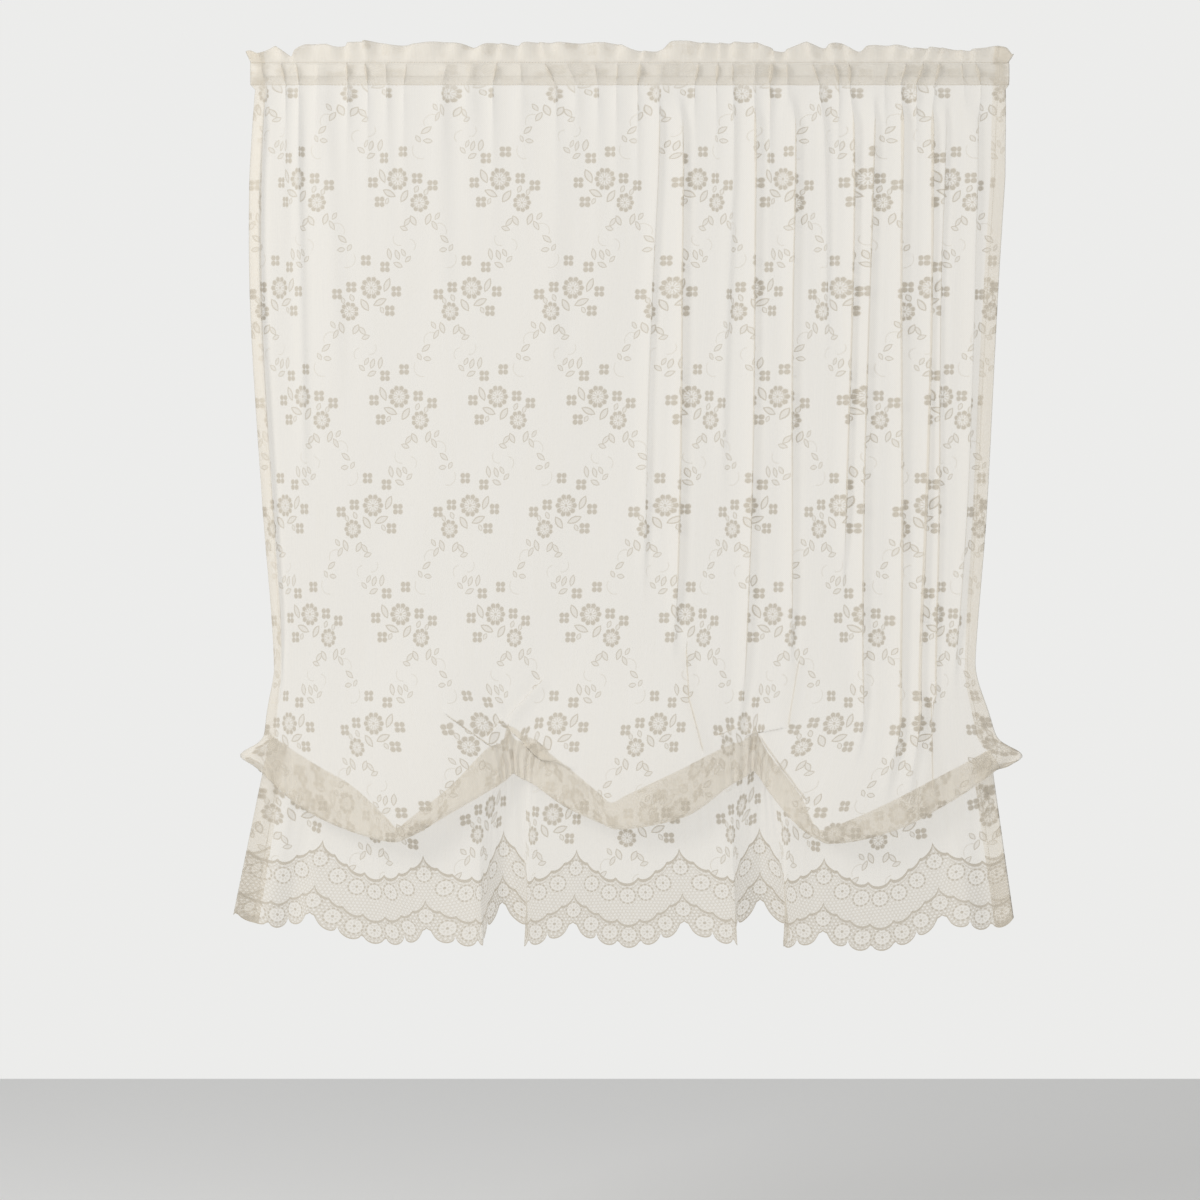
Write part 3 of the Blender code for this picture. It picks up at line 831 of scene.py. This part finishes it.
def scallop_curve(tree, share, shape, deepest):
    """A Float Curve that holds one wave of scallops, so that the shader follows the same arcs."""
    node = tree.nodes.new("ShaderNodeFloatCurve")
    points = node.mapping.curves[0].points
    for k in range(CURVE_STEPS + 1):
        at = k / CURVE_STEPS
        value = float(shape(np.array([min(at, 1 - 1e-6)]))[0]) / deepest
        if k in (0, CURVE_STEPS):
            points[0 if k == 0 else -1].location = (at, value)
        else:
            points.new(at, value)
    for point in points:
        point.handle_type = "VECTOR"
    node.mapping.update()
    tree.links.new(share.socket, node.inputs["Value"])
    return Value(tree, node.outputs[0]) * deepest


RING_RADIUS = 12.0                        # of the border's round flowers
FLOWERS_PER_WAVE = 6
UPPER_FLOWER_DROP, LOWER_FLOWER_DROP = 26.5, 23.0
RING_DOTS, RING_PETALS = 12.0, 8.0
RING_OUTER, RING_INNER = (0.8, 1.02, 0.1), (0.3, 0.58, 0.14)   # low, high and softness, in ring radii
NET_ACROSS, NET_DOWN, NET_HOLE = 5.0, 4.3, 1.45
NET_DENSITY, NET_LEAST, LOWER_NET_EXTRA = 0.42, 0.06, 0.2
FLOWER_DENSITY, FLOWER_LEAST = 0.9, 0.1
# Cords and fine lines along the scallops: low, high and softness, in millimetres from the line they follow.
UPPER_CORD, UPPER_FINE_LINE = (-4.4, 0.0, 0.7), (-8.6, -7.2, 0.6)
SECOND_CORD, SECOND_FINE_LINE = (-3.6, 0.0, 0.7), (-7.6, -6.6, 0.6)
HEM_EDGE, HEM_EDGE_SOFT, HEM_FINE_LINE = 2.0, 0.7, (4.0, 4.9, 0.5)
DEEPEST_CORD_SCALLOP, DEEPEST_HEM_SCALLOP = 12.0, 16.0
CURVE_STEPS = 96                          # points of the shader's curve in one wave


def arch(share):
    """The border's wave in the shader: 0 at a cusp and 1 midway."""
    return (share * math.pi).math("SINE").abs().math("POWER", WAVE_POWER)


def border(tree, flat, drop):
    """The lace border: how dense it is, and 1 where the cloth is border."""
    rise = drop * -1.0 + HEM_DROP
    share = ((flat - WAVE_START) / REPEAT).math("FRACT")
    dip = arch(share)
    cords = scallop_curve(tree, share, cord_scallops, DEEPEST_CORD_SCALLOP)
    above_upper = rise - (dip * -UPPER_LINE.depth + UPPER_LINE.cusp - cords)
    above_second = rise - (dip * -SECOND_LINE.depth + SECOND_LINE.cusp - cords)
    hem_arcs = scallop_curve(tree, share, hem_scallops, DEEPEST_HEM_SCALLOP)
    above_hem = rise - (dip * -HEM_LINE.depth + HEM_LINE.cusp - hem_arcs)

    in_border = above_upper.below(0.0, 0.6)
    in_lower = above_second.below(0.0, 0.6)
    nearest = (share * FLOWERS_PER_WAVE).math("ROUND") / FLOWERS_PER_WAVE
    near_dip = arch(nearest)
    upper_centre = near_dip * -UPPER_LINE.depth + (UPPER_LINE.cusp - UPPER_FLOWER_DROP)
    lower_centre = near_dip * -SECOND_LINE.depth + (SECOND_LINE.cusp - LOWER_FLOWER_DROP)
    x = (share - nearest) * (REPEAT / RING_RADIUS)
    y = (rise - (upper_centre + (lower_centre - upper_centre) * in_lower)) / RING_RADIUS
    r = (x * x + y * y).math("SQRT")
    turn = y.math("ARCTAN2", x)
    dots = (turn * RING_DOTS).math("COSINE").below(-0.3, 0.6).flip()
    petals = (turn * RING_PETALS).math("COSINE").below(0.0, 0.6).flip()
    outer = r.band(*RING_OUTER) * (dots * 0.55 + 0.45)
    inner = r.band(*RING_INNER) * (petals * 0.5)
    flower = outer.most(inner).most(r.below(0.16, 0.08))
    within = r.below(1.04, 0.1)

    row = (rise / NET_DOWN).floor()
    off_x = ((flat / NET_ACROSS + (row * 0.5).math("FRACT")).math("FRACT") - 0.5) * NET_ACROSS
    off_y = ((rise / NET_DOWN).math("FRACT") - 0.5) * NET_DOWN
    net = (off_x * off_x + off_y * off_y).math("SQRT").below(NET_HOLE, 0.7).flip()
    ground = net * NET_DENSITY + NET_LEAST
    ground = ground + (net * LOWER_NET_EXTRA) * in_lower
    filled = ground + (flower * FLOWER_DENSITY + FLOWER_LEAST - ground) * within
    lines = above_upper.band(*UPPER_CORD).most(above_upper.band(*UPPER_FINE_LINE) * 0.8)
    lines = lines.most(above_second.band(*SECOND_CORD)).most(above_second.band(*SECOND_FINE_LINE) * 0.75)
    lines = lines.most(above_hem.below(HEM_EDGE, HEM_EDGE_SOFT)).most(above_hem.band(*HEM_FINE_LINE) * 0.6)
    return filled.most(lines), in_border


STITCH = 3.4                              # from stitch to stitch
STITCH_SHARE, SIDE_STITCH_SHARE = 0.7, 0.62   # of that is thread
SIDE_STITCH = (EDGE_RIGHT - EDGE_LEFT) / 2 - SIDE_HEM + 1.5   # from the middle of the cloth
SIDE_HALF, LOWER_HALF, UPPER_HALF = 0.5, 0.7, 0.6   # half the widths of the rows of stitches
ROD_EDGE = 9.5                            # under it the pocket's layers lie on each other; down to the lower stitches the lace is painted denser and darker, partly for that doubled cloth and partly as painted shade of the rod
# The first is how dense the band under the rod is painted: partly the doubled cloth, partly painted shade.
# The second is for the stitches' thread.
DOUBLED_AND_SHADE_DENSITY, STITCH_DENSITY = 0.25, 0.9


def stitching(flat, drop):
    """The rows of stitches: above and below the rod, and down both side hems; and a darker band under the
    rod, partly doubled cloth and partly painted shade.
    """
    from_middle = (flat - (EDGE_LEFT + EDGE_RIGHT) / 2).abs()
    side = from_middle.band(SIDE_STITCH - SIDE_HALF, SIDE_STITCH + SIDE_HALF, 0.4)
    side = side * (drop / STITCH).math("FRACT").below(SIDE_STITCH_SHARE, 0.2)
    lower = drop.band(LOWER_STITCH - LOWER_HALF, LOWER_STITCH + LOWER_HALF, 0.5)
    upper = drop.band(-FRILL_FOOT - UPPER_HALF, -FRILL_FOOT + UPPER_HALF, 0.5)
    across = (flat / STITCH).math("FRACT").below(STITCH_SHARE, 0.2)
    # A band painted denser and darker under the rod: partly the pocket's doubled cloth, partly painted shade
    # of the rod above it.
    doubled_and_rod_shade = drop.band(ROD_EDGE, LOWER_STITCH - 1, 2.0) * DOUBLED_AND_SHADE_DENSITY
    return ((lower.most(upper) * across).most(side) * STITCH_DENSITY).most(doubled_and_rod_shade)


GROUND_ALPHA, DENSE_ALPHA = 0.5, 0.97     # how much the net and the flowers cover
GROUND_COLOUR, DENSE_COLOUR = (0.97, 0.91, 0.80, 1), (0.72, 0.66, 0.56, 1)
STREAK_ACROSS, STREAK_DOWN, STREAKS = 26, 420, 0.16   # slow uneven stretches of the net
WALE_ACROSS, WALE_DOWN, THREADS = 2.2, 2.6, 0.03      # the knit
TRANSLUCENCE = 0.3


def lace_material():
    """Sheer knitted lace: the pattern drives how dense it is and its colour, and the knit its relief."""
    material = bpy.data.materials.new("lace")
    material.use_nodes = True
    tree = material.node_tree
    tree.nodes.clear()
    uv = tree.nodes.new("ShaderNodeUVMap")
    uv.uv_map = "pattern"
    flat, drop = separate(tree, uv.outputs[0])
    floral = bouquets(tree, flat, drop)
    edging, in_border = border(tree, flat, drop)
    density = floral + (edging - floral) * in_border
    density = density.most(stitching(flat, drop))

    stretch = tree.nodes.new("ShaderNodeMapping")
    stretch.inputs["Scale"].default_value = (1 / STREAK_ACROSS, 1 / STREAK_DOWN, 1)
    tree.links.new(uv.outputs[0], stretch.inputs["Vector"])
    streaks = tree.nodes.new("ShaderNodeTexNoise")
    streaks.inputs["Detail"].default_value = 3.0
    tree.links.new(stretch.outputs[0], streaks.inputs["Vector"])
    uneven = (Value(tree, streaks.outputs["Fac"]) - 0.5) * STREAKS
    wale_across = (flat * (2 * math.pi / WALE_ACROSS)).math("SINE")
    wales = wale_across * (drop * (2 * math.pi / WALE_DOWN)).math("SINE")
    alpha = density * (DENSE_ALPHA - GROUND_ALPHA) + GROUND_ALPHA
    alpha = (alpha + uneven + wales * THREADS).least(1.0)
    colour = tint(tree, density.socket, GROUND_COLOUR, DENSE_COLOUR)

    bump = tree.nodes.new("ShaderNodeBump")
    bump.inputs["Strength"].default_value = 0.4
    bump.inputs["Distance"].default_value = 0.0003
    tree.links.new(wales.socket, bump.inputs["Height"])

    cloth = tree.nodes.new("ShaderNodeBsdfPrincipled")
    cloth.inputs["Roughness"].default_value = 0.85
    cloth.inputs["Specular IOR Level"].default_value = 0.2
    cloth.inputs["Sheen Weight"].default_value = 0.15
    cloth.inputs["Sheen Roughness"].default_value = 0.5
    tree.links.new(colour, cloth.inputs["Base Color"])
    tree.links.new(bump.outputs[0], cloth.inputs["Normal"])
    through = tree.nodes.new("ShaderNodeBsdfTranslucent")
    tree.links.new(colour, through.inputs["Color"])
    clear = tree.nodes.new("ShaderNodeBsdfTransparent")
    body = mixed_shader(tree, TRANSLUCENCE, cloth.outputs[0], through.outputs[0])
    output = tree.nodes.new("ShaderNodeOutputMaterial")
    tree.links.new(mixed_shader(tree, alpha.socket, clear.outputs[0], body), output.inputs["Surface"])
    return material


def paint_material():
    """Satin off-white paint on the rod, with a faint orange peel."""
    material = bpy.data.materials.new("rod_paint")
    material.use_nodes = True
    tree = material.node_tree
    shader = tree.nodes["Principled BSDF"]
    shader.inputs["Coat Weight"].default_value = 0.2
    place = tree.nodes.new("ShaderNodeTexCoord")
    peel = tree.nodes.new("ShaderNodeTexNoise")
    peel.inputs["Scale"].default_value = 900
    tree.links.new(place.outputs["Object"], peel.inputs["Vector"])
    bump = tree.nodes.new("ShaderNodeBump")
    bump.inputs["Strength"].default_value = 0.12
    bump.inputs["Distance"].default_value = 0.0004
    tree.links.new(peel.outputs["Fac"], bump.inputs["Height"])
    tree.links.new(bump.outputs[0], shader.inputs["Normal"])
    wear = tree.nodes.new("ShaderNodeTexNoise")
    wear.inputs["Scale"].default_value = 14
    wear.inputs["Detail"].default_value = 6
    tree.links.new(place.outputs["Object"], wear.inputs["Vector"])
    paint = tint(tree, wear.outputs["Fac"], (0.95, 0.94, 0.92, 1), (0.90, 0.89, 0.86, 1))
    tree.links.new(paint, shader.inputs["Base Color"])
    rough = Value(tree, wear.outputs["Fac"]) * 0.2 + 0.28
    tree.links.new(rough.socket, shader.inputs["Roughness"])
    return material


def floor_material():
    """A pale matt floor, a little mottled."""
    material = bpy.data.materials.new("studio_floor")
    material.use_nodes = True
    tree = material.node_tree
    shader = tree.nodes["Principled BSDF"]
    shader.inputs["Roughness"].default_value = 0.9
    mottle = tree.nodes.new("ShaderNodeTexNoise")
    mottle.inputs["Scale"].default_value = 1.5
    pale = tint(tree, mottle.outputs["Fac"], (0.86, 0.86, 0.85, 1), (0.82, 0.82, 0.81, 1))
    tree.links.new(pale, shader.inputs["Base Color"])
    return material


# ---------------------------------------------------------------- studio: sizes and places in metres

CAMERA_DISTANCE = 3.8                     # from the curtain's front
FRAME_WIDTH = 1.68                        # of the view, at the curtain
SENSOR = 36.0
VIEW_CENTRE = (-0.042, -0.741)            # across and height, from the rod's middle
FLOOR_DEPTH = -1.72                       # below the rod
FLOOR_SIZE = 3.4
Lamp = namedtuple("Lamp", "name location target size power")
LAMPS = (
    Lamp("key", (-2.3, -1.9, 0.7), (0, 0, -0.6), 1.2, 46),
    Lamp("fill", (2.2, -2.4, -0.2), (0, 0, -0.7), 2.0, 9),
)
SOFT_LIGHT, BACKDROP = 0.56, (0.84, 0.84, 0.83, 1)


def make_camera():
    """The camera, square to the curtain's front."""
    data = bpy.data.cameras.new("camera")
    data.sensor_width = SENSOR
    data.lens = SENSOR * CAMERA_DISTANCE / FRAME_WIDTH
    camera = bpy.data.objects.new("camera", data)
    camera.location = (VIEW_CENTRE[0], ROD_Y * MM - CAMERA_DISTANCE, VIEW_CENTRE[1])
    camera.rotation_euler = (math.pi / 2, 0, 0)
    bpy.context.scene.collection.objects.link(camera)
    bpy.context.scene.camera = camera


def make_light(lamp):
    """A square area light that faces its target."""
    data = bpy.data.lights.new(lamp.name, "AREA")
    data.size, data.energy = lamp.size, lamp.power
    light = bpy.data.objects.new(lamp.name, data)
    light.location = lamp.location
    bpy.context.scene.collection.objects.link(light)
    light.rotation_mode = "QUATERNION"
    light.rotation_quaternion = (Vector(lamp.target) - Vector(lamp.location)).to_track_quat("-Z", "Y")


def make_world():
    """A plain pale backdrop for the camera, and a soft light all round for everything else."""
    world = bpy.data.worlds.new("studio")
    bpy.context.scene.world = world
    world.use_nodes = True
    tree = world.node_tree
    soft_light = tree.nodes["Background"]
    soft_light.inputs["Color"].default_value = (1, 1, 1, 1)
    soft_light.inputs["Strength"].default_value = SOFT_LIGHT
    backdrop = tree.nodes.new("ShaderNodeBackground")
    backdrop.inputs["Color"].default_value = BACKDROP
    seen = tree.nodes.new("ShaderNodeLightPath")
    mixed = mixed_shader(tree, seen.outputs["Is Camera Ray"], soft_light.outputs[0], backdrop.outputs[0])
    tree.links.new(mixed, tree.nodes["World Output"].inputs["Surface"])


def make_floor():
    """The studio's floor."""
    bpy.ops.mesh.primitive_plane_add(size=FLOOR_SIZE, location=(0, 0, FLOOR_DEPTH))
    floor = bpy.context.object
    floor.name = "floor"
    floor.data.materials.append(floor_material())


def make_studio():
    """The backdrop, the lights and the floor, and how often light may bounce among thin layers of lace."""
    make_world()
    for lamp in LAMPS:
        make_light(lamp)
    make_floor()
    scene = bpy.context.scene
    scene.view_settings.view_transform = "Standard"
    scene.cycles.max_bounces = 3
    scene.cycles.diffuse_bounces = 2
    scene.cycles.glossy_bounces = 1
    scene.cycles.transmission_bounces = 2
    scene.cycles.transparent_max_bounces = 8


def main():
    """Dresses the frame."""
    make_camera()
    panel = make_panel()
    panel.data.materials.append(lace_material())
    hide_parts("curtain_panel")
    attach(panel, "root")
    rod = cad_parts["rod"]
    rod.data.materials.clear()
    rod.data.materials.append(paint_material())
    make_studio()


main()
